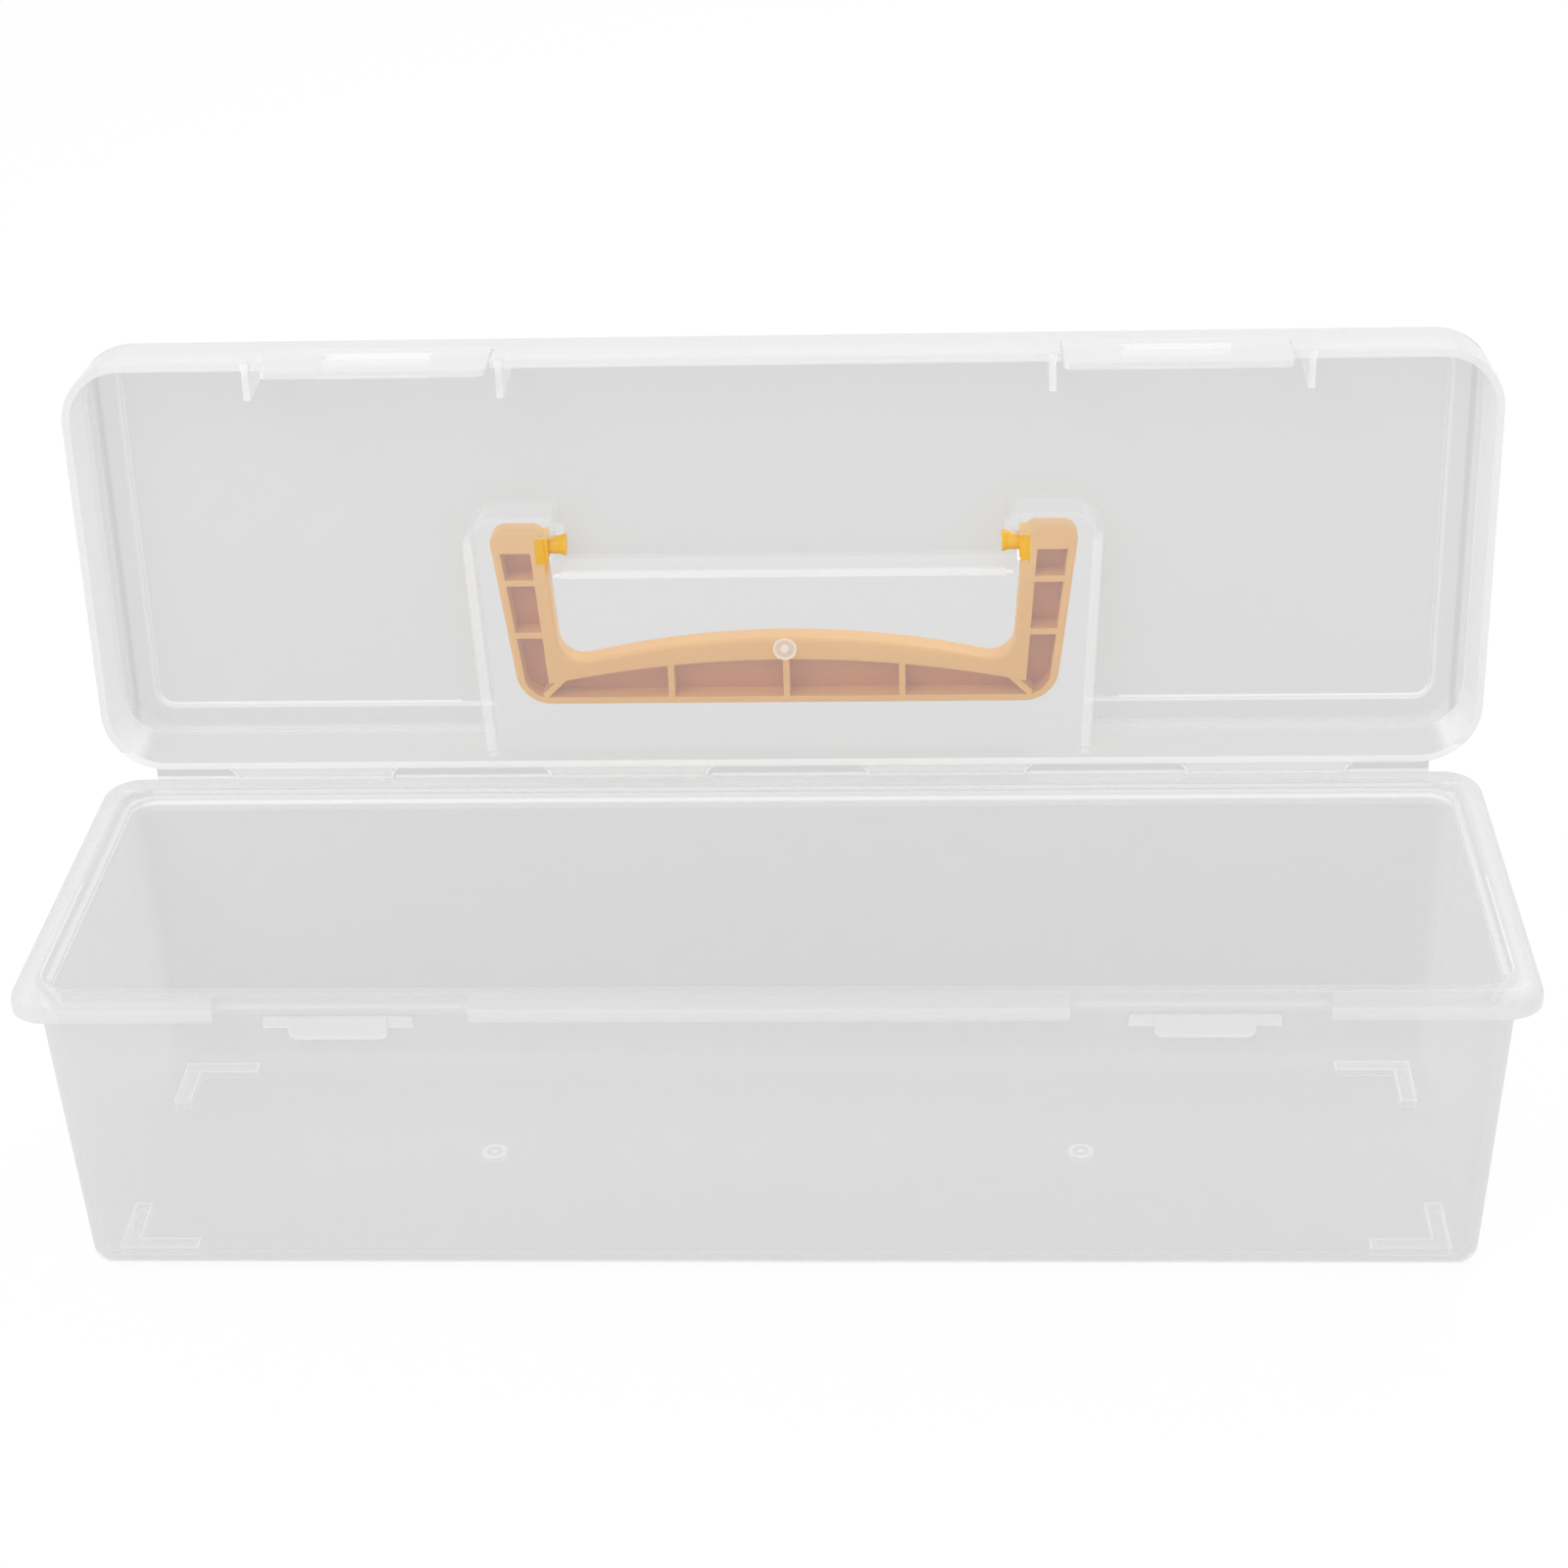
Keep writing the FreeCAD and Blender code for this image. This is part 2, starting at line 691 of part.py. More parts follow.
def make_handle():
    # drawn about its pivot line, grip towards +Y, ribbed cells underneath
    body = new_body("handle")
    low = "-dims.handle_thick / 2"

    sketch = sketch_on(body, "handle_outline", "XY_Plane", low)
    points = both_hands(
        [
            ("dims.handle_inner_grip", "dims.grip_inner_end"),
            ("dims.handle_inner_top", "-dims.handle_end"),
            ("dims.handle_half_top", "-dims.handle_end"),
            ("dims.handle_half_grip", "dims.handle_reach"),
        ]
    )
    outline(sketch, points, {len(points) - 1: "dims.grip_arch"})
    pad(body, sketch, "dims.handle_thick")
    for name, x, y, radius in (
        ("grip_corner_round", "handle_half_grip", sizes["handle_reach"], "dims.grip_corner"),
        ("inside_corner_round", "handle_inner_grip", sizes["grip_inner_end"], "dims.inside_corner"),
        ("end_outer_round", "handle_half_top", -sizes["handle_end"], "dims.end_corner"),
        ("end_inner_round", "handle_inner_top", -sizes["handle_end"], "dims.end_corner"),
    ):
        round_edges(body, name, radius, upright_at(sizes[x], y))
    round_edges(body, "handle_top_edge", "dims.handle_top_round", at_level("dims.handle_thick / 2"))
    round_edges(body, "handle_low_edge", "dims.handle_low_round", at_level(low))

    # one channel round the arms and grip, open underneath
    sketch = sketch_on(body, "channel", "XY_Plane", low)
    grip_wall = "(dims.handle_reach - dims.cell_wall)"
    turn = f"({grip_wall} - dims.cell_corner)"
    points = both_hands(
        [
            (f"{arm_inner('dims.band_end')} + dims.cell_band", "dims.band_end"),
            (f"{arm_inner('dims.cell_start')} + dims.cell_band", "dims.cell_start"),
            (f"{arm_outer('dims.cell_start')} - dims.cell_wall", "dims.cell_start"),
            (f"{arm_outer(turn)} - dims.cell_wall", turn),
            (f"{arm_outer(turn)} - dims.cell_wall - dims.cell_corner", grip_wall),
        ]
    )
    outline(sketch, points, {3: "dims.cell_corner", 5: "dims.cell_corner", 9: "dims.band_arch"})
    pocket(body, sketch, "dims.cell_deep", up=True)

    # ribs that divide the channel into cells
    sketch = sketch_on(body, "ribs", "XY_Plane", low)
    half = "dims.rib_thick / 2"
    for place in (-1, 0, 1):
        middle = f"{place} * dims.grip_rib_pitch"
        rectangle(
            sketch,
            f"{middle} - {half}",
            f"{middle} + {half}",
            "dims.grip_rib_from",
            f"{grip_wall} + {half}",
        )
    for side in SIDES:
        for along in ("dims.arm_rib_first", "dims.arm_rib_second"):
            rectangle(
                sketch,
                f"{side} * ({arm_inner(along)} + dims.rib_thick)",
                f"{side} * ({arm_outer(along)} - dims.rib_thick)",
                f"{along} - {half}",
                f"{along} + {half}",
            )
        slant = "dims.rib_thick / 2 * cos(45 deg)"
        reach = "dims.corner_rib_half"
        corner = [
            (f"dims.corner_rib_x - {reach} - {slant}", f"dims.corner_rib_y - {reach} + {slant}"),
            (f"dims.corner_rib_x - {reach} + {slant}", f"dims.corner_rib_y - {reach} - {slant}"),
            (f"dims.corner_rib_x + {reach} + {slant}", f"dims.corner_rib_y + {reach} - {slant}"),
            (f"dims.corner_rib_x + {reach} - {slant}", f"dims.corner_rib_y + {reach} + {slant}"),
        ]
        outline(sketch, [(f"{side} * ({x})", y) for x, y in corner])
    pad(body, sketch, "dims.cell_deep + dims.rib_thick / 2")

    # square bosses on the arms, and the snap pins that point inwards
    for side, hand in zip(SIDES, ("left", "right")):
        sketch = sketch_on(body, f"boss_{hand}", "YZ_Plane", f"{side} * dims.boss_inner")
        rectangle(sketch, "-dims.boss_half", "dims.boss_half", "-dims.boss_half", "dims.boss_half")
        pad(body, sketch, "dims.boss_deep", down=side < 0)
    sketch = sketch_on(body, "pin_profile", "XY_Plane")
    head = "(dims.lobe_inner - dims.lid_thick - dims.pin_head_gap)"
    profile = [
        ("dims.boss_inner + dims.boss_deep / 2", "0"),
        ("dims.boss_inner + dims.boss_deep / 2", "dims.pin_radius"),
        (head, "dims.pin_radius"),
        (f"{head} - dims.pin_head_long + dims.pin_head_gap", "dims.pin_head_radius"),
        (f"{head} - dims.pin_head_long", "dims.pin_head_radius"),
        (f"{head} - dims.pin_head_long", "0"),
    ]
    for side in SIDES:
        outline(sketch, [(f"{side} * ({x})", y) for x, y in profile])
    doc.recompute()
    pins = body.newObject("PartDesign::Revolution", "pins")
    pins.Profile = sketch
    pins.ReferenceAxis = (sketch, ["H_Axis"])
    pins.Angle = 360
    doc.recompute()
    return body


shift = Vector(0, sizes["footprint_shift"], 0)
hinge = Vector(
    0,
    number(sheet, "dims.lid_width / 2 + dims.hinge_gap"),
    number(sheet, "dims.tub_top + dims.lid_gap / 2"),
)
lid_turn = Rotation(Vector(1, 0, 0), -sizes["lid_open_angle"])


def stand(body):
    body.Placement = Placement(shift, Rotation())
    return body


def swing_open(body, spot):
    # a piece drawn about spot on the closed lid goes with the lid as it opens
    place = hinge + lid_turn.multVec(spot - hinge) + shift
    body.Placement = Placement(place, lid_turn)
    return body


flex_y = number(sheet, f"{LID_FRONT} - dims.tongue_proud + dims.tongue_thick / 2")
flex_z = number(sheet, f"{LID_BASE} + dims.tongue_root")
pivot = Vector(0, 0, number(sheet, f"{LID_BASE} + dims.pivot_height"))

nodes = [
    stand(make_tub()),
    swing_open(make_lid(), Vector(0, 0, 0)),
    swing_open(make_tongue("latch_left"), Vector(-sizes["tongue_x"], flex_y, flex_z)),
    swing_open(make_tongue("latch_right"), Vector(sizes["tongue_x"], flex_y, flex_z)),
    swing_open(make_handle(), pivot),
]
strap_places = ("-dims.strap_far", "-dims.strap_near", "dims.strap_near", "dims.strap_far")
for i, place in enumerate(strap_places, start=1):
    nodes.append(stand(make_strap(f"hinge_strap_{i}", place)))
doc.recompute()

for item in doc.Objects:
    if "Invalid" in item.State or "Error" in item.State:
        raise RuntimeError(f"{item.Label} failed: {item.State}")
for node in nodes:
    shape = node.Shape
    if shape.isNull() or not shape.isValid() or len(shape.Solids) != 1:
        raise RuntimeError(f"{node.Label} is not one sound solid")

os.makedirs("parts", exist_ok=True)
for node in nodes:
    node.Shape.exportStep(f"parts/{node.Label}.step")
    box = node.Shape.optimalBoundingBox(False)
    extent = f"{box.XLength:.1f} x {box.YLength:.1f} x {box.ZLength:.1f} mm"
    print(f"{node.Label}: {node.Shape.Volume / 1000:.1f} cm3, {extent}")
print(f"hinge line y {hinge.y + shift.y:.2f} z {hinge.z:.2f}")
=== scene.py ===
import bpy
import math
from mathutils import Matrix, Vector


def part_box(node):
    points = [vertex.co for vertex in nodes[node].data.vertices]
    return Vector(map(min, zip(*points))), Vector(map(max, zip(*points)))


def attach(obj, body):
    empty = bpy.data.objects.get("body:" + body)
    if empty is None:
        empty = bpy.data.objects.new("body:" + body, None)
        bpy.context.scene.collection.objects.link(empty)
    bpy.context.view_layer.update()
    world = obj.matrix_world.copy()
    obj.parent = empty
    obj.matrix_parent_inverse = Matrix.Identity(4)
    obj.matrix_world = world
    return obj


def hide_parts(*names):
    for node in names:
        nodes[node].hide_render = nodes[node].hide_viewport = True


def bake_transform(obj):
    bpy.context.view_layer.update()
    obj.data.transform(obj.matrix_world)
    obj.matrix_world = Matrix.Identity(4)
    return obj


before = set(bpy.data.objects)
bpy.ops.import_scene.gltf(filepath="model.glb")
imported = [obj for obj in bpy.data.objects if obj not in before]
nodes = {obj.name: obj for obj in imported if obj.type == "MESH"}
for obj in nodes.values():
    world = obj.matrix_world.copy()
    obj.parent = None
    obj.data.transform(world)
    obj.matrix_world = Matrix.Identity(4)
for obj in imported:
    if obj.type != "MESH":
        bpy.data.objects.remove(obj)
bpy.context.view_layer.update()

scene = bpy.context.scene
scene.view_settings.view_transform = "Standard"
print("frame loaded:", len(nodes), "nodes")


# camera fitted to the photo: metres, degrees, and a focal length in pixels of the photo's frame
photoCamera = {
    "place": (0.045259, -0.785653, 0.516231),
    "yaw": -3.1598,
    "pitch": 27.2429,
    "roll": -1.8016,
    "focalPixels": 3416.98,
    "imageSize": 1600,
    "sensorWidth": 36.0,
}


def makeCamera(look):
    yaw = math.radians(look["yaw"])
    pitch = math.radians(look["pitch"])
    roll = math.radians(look["roll"])
    level = math.cos(pitch)
    forward = Vector((math.sin(yaw) * level, math.cos(yaw) * level, -math.sin(pitch)))
    right = Vector((math.cos(yaw), -math.sin(yaw), 0))
    up = right.cross(forward)
    turnedRight = right * math.cos(roll) + up * math.sin(roll)
    turnedUp = up * math.cos(roll) - right * math.sin(roll)
    turn = Matrix((turnedRight, turnedUp, -forward)).transposed()
    lens = bpy.data.cameras.new("photoCamera")
    lens.sensor_width = look["sensorWidth"]
    lens.lens = look["focalPixels"] * look["sensorWidth"] / look["imageSize"]
    camera = bpy.data.objects.new("photoCamera", lens)
    scene.collection.objects.link(camera)
    camera.matrix_world = Matrix.Translation(look["place"]) @ turn.to_4x4()
    scene.camera = camera


makeCamera(photoCamera)
print("camera set")


# node helpers: an input is a value or another node's output
def addNode(tree, kind, inputs={}, **settings):
    node = tree.nodes.new(kind)
    for key, value in settings.items():
        setattr(node, key, value)
    for key, value in inputs.items():
        if isinstance(value, bpy.types.NodeSocket):
            tree.links.new(value, node.inputs[key])
        else:
            node.inputs[key].default_value = value
    return node


def calc(tree, operation, *values):
    return addNode(tree, "ShaderNodeMath", dict(enumerate(values)), operation=operation).outputs[0]


def minus(tree, first, second):
    return calc(tree, "SUBTRACT", first, second)


def sizeOf(tree, value):
    return calc(tree, "ABSOLUTE", value)


def split(tree, vector):
    return addNode(tree, "ShaderNodeSeparateXYZ", {0: vector}).outputs


def ramp(tree, value, low, high, toLow=0.0, toHigh=1.0):
    inputs = {"Value": value, "From Min": low, "From Max": high, "To Min": toLow, "To Max": toHigh}
    return addNode(tree, "ShaderNodeMapRange", inputs, interpolation_type="SMOOTHSTEP").outputs[0]


# a Mix node keeps its number sockets at 2 and 3, and its colour sockets at 6 and 7
def mixValue(tree, factor, first, second):
    inputs = {"Factor": factor, 2: first, 3: second}
    return addNode(tree, "ShaderNodeMix", inputs, data_type="FLOAT").outputs[0]


def mixColour(tree, factor, first, second):
    inputs = {"Factor": factor, 6: first, 7: second}
    return addNode(tree, "ShaderNodeMix", inputs, data_type="RGBA").outputs[2]


# masks are 1 where a value is within its limits
def above(tree, value, limit):
    return calc(tree, "GREATER_THAN", value, limit)


def below(tree, value, limit):
    return calc(tree, "LESS_THAN", value, limit)


def between(tree, value, limits):
    low, high = limits
    return calc(tree, "COMPARE", value, (low + high) / 2, (high - low) / 2)


def every(tree, *masks):
    mask = masks[0]
    for other in masks[1:]:
        mask = calc(tree, "MULTIPLY", mask, other)
    return mask


def either(tree, first, second):
    return calc(tree, "MAXIMUM", first, second)


# the straight distance that two offsets make
def distance(tree, first, second):
    squares = [calc(tree, "MULTIPLY", offset, offset) for offset in (first, second)]
    return calc(tree, "SQRT", calc(tree, "ADD", *squares))


# how far a point is from the nearest of four places, two on each side of the middle
def fromNearest(tree, along, places):
    near, far = places
    aside = minus(tree, sizeOf(tree, along), (near + far) / 2)
    aside = minus(tree, sizeOf(tree, aside), (far - near) / 2)
    return sizeOf(tree, aside)


def newGroup(name, inputs, outputs):
    tree = bpy.data.node_groups.new(name, "ShaderNodeTree")
    for label, start in inputs.items():
        socket = tree.interface.new_socket(label, in_out="INPUT", socket_type="NodeSocketFloat")
        socket.default_value = start
    for label in outputs:
        tree.interface.new_socket(label, in_out="OUTPUT", socket_type="NodeSocketFloat")
    return tree, tree.nodes.new("NodeGroupInput").outputs, tree.nodes.new("NodeGroupOutput").inputs


def useGroup(tree, group, inputs={}):
    return addNode(tree, "ShaderNodeGroup", inputs, node_tree=group).outputs


# where a surface turns away from the box's main directions, which is on its rounded edges
def makeEdgeGroup():
    tree, given, out = newGroup("roundedEdges", {"Start": 0.03, "Full": 0.2}, ["Mask"])
    normal = split(tree, addNode(tree, "ShaderNodeTexCoord").outputs["Normal"])
    sizes = [sizeOf(tree, part) for part in normal]
    largest = either(tree, either(tree, sizes[0], sizes[1]), sizes[2])
    turned = ramp(tree, minus(tree, 1.0, largest), given["Start"], given["Full"])
    tree.links.new(turned, out["Mask"])
    return tree


# soft clouds of the milky moulding, and the fine waviness of its skin
def makeCloudGroup():
    tree, given, out = newGroup("mouldClouds", {"Scale": 14.0, "Ripple Scale": 60.0}, ["Cloud", "Ripple"])
    place = addNode(tree, "ShaderNodeTexCoord").outputs["Object"]
    for label, scale in (("Cloud", "Scale"), ("Ripple", "Ripple Scale")):
        inputs = {"Vector": place, "Scale": given[scale], "Detail": 1.0}
        tree.links.new(addNode(tree, "ShaderNodeTexNoise", inputs).outputs[0], out[label])
    return tree


edgeGroup = makeEdgeGroup()
cloudGroup = makeCloudGroup()
plasticIor = 1.49


def emptyTree(owner):
    owner.use_nodes = True
    owner.node_tree.nodes.clear()
    return owner.node_tree


def newMaterial(name):
    material = bpy.data.materials.new(name)
    tree = emptyTree(material)
    shader = addNode(tree, "ShaderNodeBsdfPrincipled")
    addNode(tree, "ShaderNodeOutputMaterial", {0: shader.outputs[0]})
    return material, tree, shader


def grey(tone):
    return (tone, tone, tone, 1)


# clear film: a plain tone and cover with soft clouds, then each zone's own over it
# a tone is a grey, and a cover is how much the film hides
def paintFilm(tree, shader, look, plain, zones, cloud):
    colour = grey(look[plain]["tone"])
    full = look[plain]["cover"]
    share = look["cloudShare"]
    cover = calc(tree, "MULTIPLY_ADD", cloud, share * full, (1 - share / 2) * full)
    for zone, mask in zones:
        colour = mixColour(tree, mask, colour, grey(look[zone]["tone"]))
        cover = mixValue(tree, mask, cover, look[zone]["cover"])
    tree.links.new(colour, shader.inputs["Base Color"])
    tree.links.new(cover, shader.inputs["Alpha"])
    shader.inputs["IOR"].default_value = plasticIor


# clear moulded shell, with its zones by place, by the way they face and on rounded edges
def dressShell(look, zonesOf):
    material, tree, shader = newMaterial(look["name"])
    cloud = useGroup(tree, cloudGroup)["Cloud"]
    coords = addNode(tree, "ShaderNodeTexCoord").outputs
    place = split(tree, coords["Object"])
    facing = split(tree, coords["Normal"])
    # painted highlights: the rounded-edge mask marks where edges are painted lighter and more solid
    edgeHighlight = useGroup(tree, edgeGroup)["Mask"]
    paintFilm(tree, shader, look, "panel", zonesOf(tree, place, facing, edgeHighlight, look), cloud)
    spread = look["roughSpread"]
    rough = calc(tree, "MULTIPLY_ADD", cloud, spread, look["roughness"] - spread / 2)
    tree.links.new(rough, shader.inputs["Roughness"])
    return material


# thin clear film, with its zones by place alone
def dressFilm(name, look, plain, zonesOf):
    material, tree, shader = newMaterial(name)
    cloud = useGroup(tree, cloudGroup)["Cloud"]
    place = split(tree, addNode(tree, "ShaderNodeTexCoord").outputs["Object"])
    paintFilm(tree, shader, look, plain, zonesOf(tree, place), cloud)
    shader.inputs["Roughness"].default_value = look["roughness"]
    return material


def dress(node, material):
    piece = nodes[node]
    piece.data.materials.clear()
    piece.data.materials.append(material)


# tub: zones, then their places in metres and the limits of the normal's parts
tubLook = {
    "name": "tubClear",
    "panel": {"tone": 0.74, "cover": 0.22},
    "rear": {"tone": 0.65, "cover": 0.22},
    "endWall": {"tone": 0.80, "cover": 0.22},
    "dome": {"tone": 0.72, "cover": 0.22},  # rounded top of the rim
    "rearDome": {"tone": 0.84, "cover": 0.26},
    "side": {"tone": 0.86, "cover": 0.30},
    "skirt": {"tone": 0.82, "cover": 0.30},
    "tab": {"tone": 0.86, "cover": 0.38},
    # painted highlight along the rounded bottom edge
    "baseHighlight": {"tone": 0.95, "cover": 0.55},
    "footSide": {"tone": 0.80, "cover": 0.06},
    "foot": {"tone": 0.86, "cover": 0.26},
    # painted highlight: a bright outline round each foot
    "footHighlight": {"tone": 0.98, "cover": 0.55},
    # the moulding gate mark on the floor, its ring and dot painted bright as a painted highlight
    "gate": {"tone": 0.97, "cover": 0.55},
    # painted highlights: bright lines along the rim's back step, its front inner edges, the ledge and the top
    # of the well
    "stepHighlight": {"tone": 0.95, "cover": 0.42},
    "innerEdgeHighlight": {"tone": 0.94, "cover": 0.60},
    "ledgeHighlight": {"tone": 0.94, "cover": 0.36},
    "wellHighlight": {"tone": 0.98, "cover": 0.75},
    "cloudShare": 0.1,
    "roughness": 0.16,
    "roughSpread": 0.1,
    "rearFrom": (-0.010, 0.030),
    "rimFrom": 0.0822,
    "skirtTo": 0.0862,
    "sideFrom": (0.1800, 0.1880),
    "tabHeights": (0.0752, 0.0818),
    "tabFront": -0.0688,
    "baseTo": 0.0075,
    "footTo": 0.0006,
    "footArms": ((0.1555, 0.1755), (0.0256, 0.0456)),
    "footWide": 0.0036,
    "footLineWide": 0.0006,
    "gateX": 0.081,
    "gateRing": (0.0022, 0.0036),
    "gateDot": 0.0010,
    "stepDepths": (0.0550, 0.0566),
    "stepHeights": (0.0865, 0.0876),
    "ledgeX": 0.1868,
    "ledgeY": 0.0568,
    "ledgeHeights": (0.0855, 0.0864),
    "wellX": 0.1850,
    "wellY": 0.0550,
    "wellBehind": -0.0575,
    "wellFade": (0.0834, 0.0845),
    "wellTop": (0.0860, 0.0848),
    "uprightTo": 0.5,
    "levelFrom": 0.9,
    "endFacing": (0.5, 0.9),
    "underTo": -0.1,
}
tubLow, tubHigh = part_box("tub")
tubMiddle = (tubLow[1] + tubHigh[1]) / 2


# the L of each foot seen from above, grown all round by a little
def footShape(tree, across, depth, look, grow):
    (alongFrom, alongTo), (deepFrom, deepTo) = look["footArms"]
    wide = look["footWide"]
    along = between(tree, across, (alongFrom - grow, alongTo + grow))
    alongEnd = between(tree, across, (alongTo - wide - grow, alongTo + grow))
    deep = between(tree, depth, (deepFrom - grow, deepTo + grow))
    deepEnd = between(tree, depth, (deepTo - wide - grow, deepTo + grow))
    return either(tree, every(tree, along, deepEnd), every(tree, alongEnd, deep))


def tubZones(tree, place, facing, edgeHighlight, look):
    across = sizeOf(tree, place[0])
    depth = sizeOf(tree, minus(tree, place[1], tubMiddle))
    height = place[2]
    front = below(tree, place[1], tubMiddle)
    back = above(tree, place[1], tubMiddle)
    upright = below(tree, sizeOf(tree, facing[2]), look["uprightTo"])
    level = above(tree, facing[2], look["levelFrom"])
    under = below(tree, facing[2], look["underTo"])
    rim = above(tree, height, look["rimFrom"])
    low = below(tree, height, look["baseTo"])
    floor = every(tree, low, level)
    onTab = every(tree, between(tree, height, look["tabHeights"]), below(tree, place[1], look["tabFront"]))
    foot = footShape(tree, across, depth, look, 0.0)
    footOutline = minus(tree, footShape(tree, across, depth, look, look["footLineWide"]), foot)
    # the gate mark's ring and dot, painted bright as a painted highlight
    fromGate = distance(tree, minus(tree, across, look["gateX"]), depth)
    gate = either(tree, between(tree, fromGate, look["gateRing"]), below(tree, fromGate, look["gateDot"]))
    onStep = every(tree, between(tree, depth, look["stepDepths"]), between(tree, height, look["stepHeights"]))
    inLedge = every(tree, below(tree, across, look["ledgeX"]), below(tree, depth, look["ledgeY"]))
    onLedge = every(tree, between(tree, height, look["ledgeHeights"]), level)
    inWell = every(tree, below(tree, across, look["wellX"]), below(tree, depth, look["wellY"]))
    wellTop = every(tree, ramp(tree, height, *look["wellFade"]), ramp(tree, height, *look["wellTop"]))
    behind = above(tree, place[1], look["wellBehind"])
    return [
        ("rear", ramp(tree, place[1], *look["rearFrom"])),
        ("endWall", ramp(tree, sizeOf(tree, facing[0]), *look["endFacing"])),
        ("dome", rim),
        ("rearDome", every(tree, rim, back)),
        ("side", every(tree, rim, ramp(tree, across, *look["sideFrom"]))),
        ("skirt", every(tree, rim, upright, below(tree, height, look["skirtTo"]))),
        ("tab", onTab),
        # painted highlight on the rounded bottom edge
        ("baseHighlight", every(tree, low, edgeHighlight, under)),
        ("footSide", every(tree, upright, below(tree, height, look["footTo"]))),
        ("foot", every(tree, floor, foot)),
        # painted highlight round the outline of each foot
        ("footHighlight", every(tree, floor, footOutline)),
        ("gate", every(tree, floor, gate)),
        # painted highlights along the rim's step, inner edges, ledge and the top of the well
        ("stepHighlight", every(tree, onStep, back)),
        ("innerEdgeHighlight", every(tree, rim, edgeHighlight, inLedge, front)),
        ("ledgeHighlight", every(tree, onLedge, inLedge, behind)),
        ("wellHighlight", every(tree, upright, inWell, wellTop, behind)),
    ]


dress("tub", dressShell(tubLook, tubZones))


# lid, standing open: zones, then their places in metres and the limits of the normal's parts
lidLook = {
    "name": "lidClear",
    "panel": {"tone": 0.68, "cover": 0.22},
    "floor": {"tone": 0.72, "cover": 0.17},  # floor of the handle recess
    "wall": {"tone": 0.88, "cover": 0.40},
    "side": {"tone": 0.94, "cover": 0.48},
    # painted light: the ribs and the gussets' front faces are painted near white and near solid, as if
    # brightly lit
    "ribHighlight": {"tone": 1.0, "cover": 0.90},
    "gussetHighlight": {"tone": 1.0, "cover": 0.55},
    # painted highlight on every rounded edge, toned down again on the lobes, the back of the land and in the
    # margin
    "edgeHighlight": {"tone": 0.94, "cover": 0.55},
    "softEdge": {"tone": 0.76, "cover": 0.20},
    "margin": {"tone": 0.76, "cover": 0.26},
    # painted shade: a dark line along the foot of the panel's margin
    "creaseShade": {"tone": 0.52, "cover": 0.26},
    # painted highlight: a bright line where the panel's edges turn
    "outlineHighlight": {"tone": 0.97, "cover": 0.60},
    # painted highlight: a bright line along the land between the lobes
    "landHighlight": {"tone": 0.93, "cover": 0.38},
    "channel": {"tone": 0.72, "cover": 0.12},
    "channelInside": {"tone": 0.80, "cover": 0.06},
    "recessBand": {"tone": 1.0, "cover": 0.30},
    "lip": {"tone": 0.90, "cover": 0.42},
    "rearLip": {"tone": 0.97, "cover": 0.65},
    "pinWall": {"tone": 0.68, "cover": 0.03},
    "cloudShare": 0.1,
    "roughness": 0.16,
    "roughSpread": 0.1,
    "recessFloor": (0.0574, 0.0602),
    "wallFrom": 0.2000,
    "ribTo": 0.15,
    "gussetX": (0.0735, 0.1415),
    "gussetHalf": 0.0011,
    "recessSides": (0.0815, 0.0915),
    "lobes": (0.0600, 0.0920),
    "lobeFrom": 0.1470,
    "marginFrom": 0.0668,
    "creaseShadeX": (0.1864, 0.1879),
    "panelX": 0.1832,
    "panelZ": (0.0985, 0.2065),
    "panelFrom": 0.0705,
    "recessX": 0.0935,
    "recessZ": (0.1010, 0.1665),
    "landX": 0.0615,
    "landZ": (0.1440, 0.1480),
    "landTo": 0.0602,
    "recessHalf": 0.0870,  # half width of the recess at its top, and how it slopes
    "recessTop": 0.1614,
    "recessSlope": 0.0435,
    "bandMiddle": -0.0003,
    "bandFade": (0.0016, 0.0010),
    "bandDepths": (0.0570, 0.0597),
    "bandEnd": (0.1600, 0.1550),
    "lipTo": 0.0512,
    "rearTo": 0.0960,
    "pinWallX": (0.0612, 0.0656),
    "pinWallZ": (0.1466, 0.1557),
    "levelFrom": 0.9,
    "turnedTo": 0.985,
    "wallFacing": (0.9, 0.3),
    "outFacing": (0.4, 0.8),
    "inFacing": (-0.4, -0.8),
}


